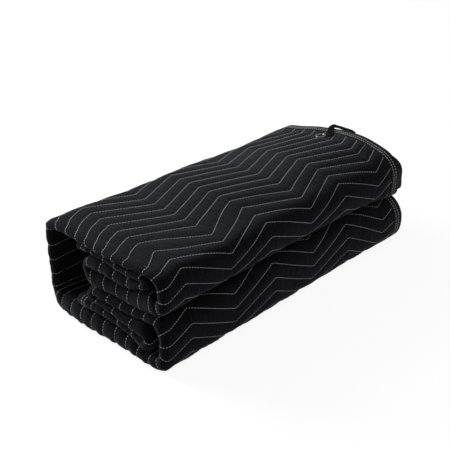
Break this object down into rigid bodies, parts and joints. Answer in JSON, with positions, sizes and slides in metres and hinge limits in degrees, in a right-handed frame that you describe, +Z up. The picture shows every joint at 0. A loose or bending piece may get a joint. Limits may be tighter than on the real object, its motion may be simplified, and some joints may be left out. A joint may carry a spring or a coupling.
{
  "type": "folded quilted sound dampening blanket",
  "caption": "Black quilted sound dampening blanket folded into a long block, with zigzag white stitching, bound hems, a metal eyelet and a webbing loop.",
  "frame": {"origin": "under the middle of the folded block, on the surface that it rests on", "axes": "+X along the block from the folded end to the hem end with the eyelet, +Y from the open front folds to the spine, +Z up through the stack"},
  "size_m": [0.6302, 0.2952, 0.1871],
  "materials": {
    "quilted_cloth": "black woven shell quilted over batting, with white zigzag stitching",
    "binding": "black woven edge tape with two rows of white stitching",
    "webbing": "black woven webbing",
    "eyelet_metal": "polished nickel plate",
    "stitch_thread": "white thread"
  },
  "bodies": {
    "root": {"quilted_cloth": "quilted_cloth", "binding_outer_hem": "binding", "binding_inner_hem": "binding", "binding_upper_side": "binding", "binding_lower_side": "binding", "eyelet": "eyelet_metal", "webbing_loop": "webbing"}
  },
  "joints": []
}
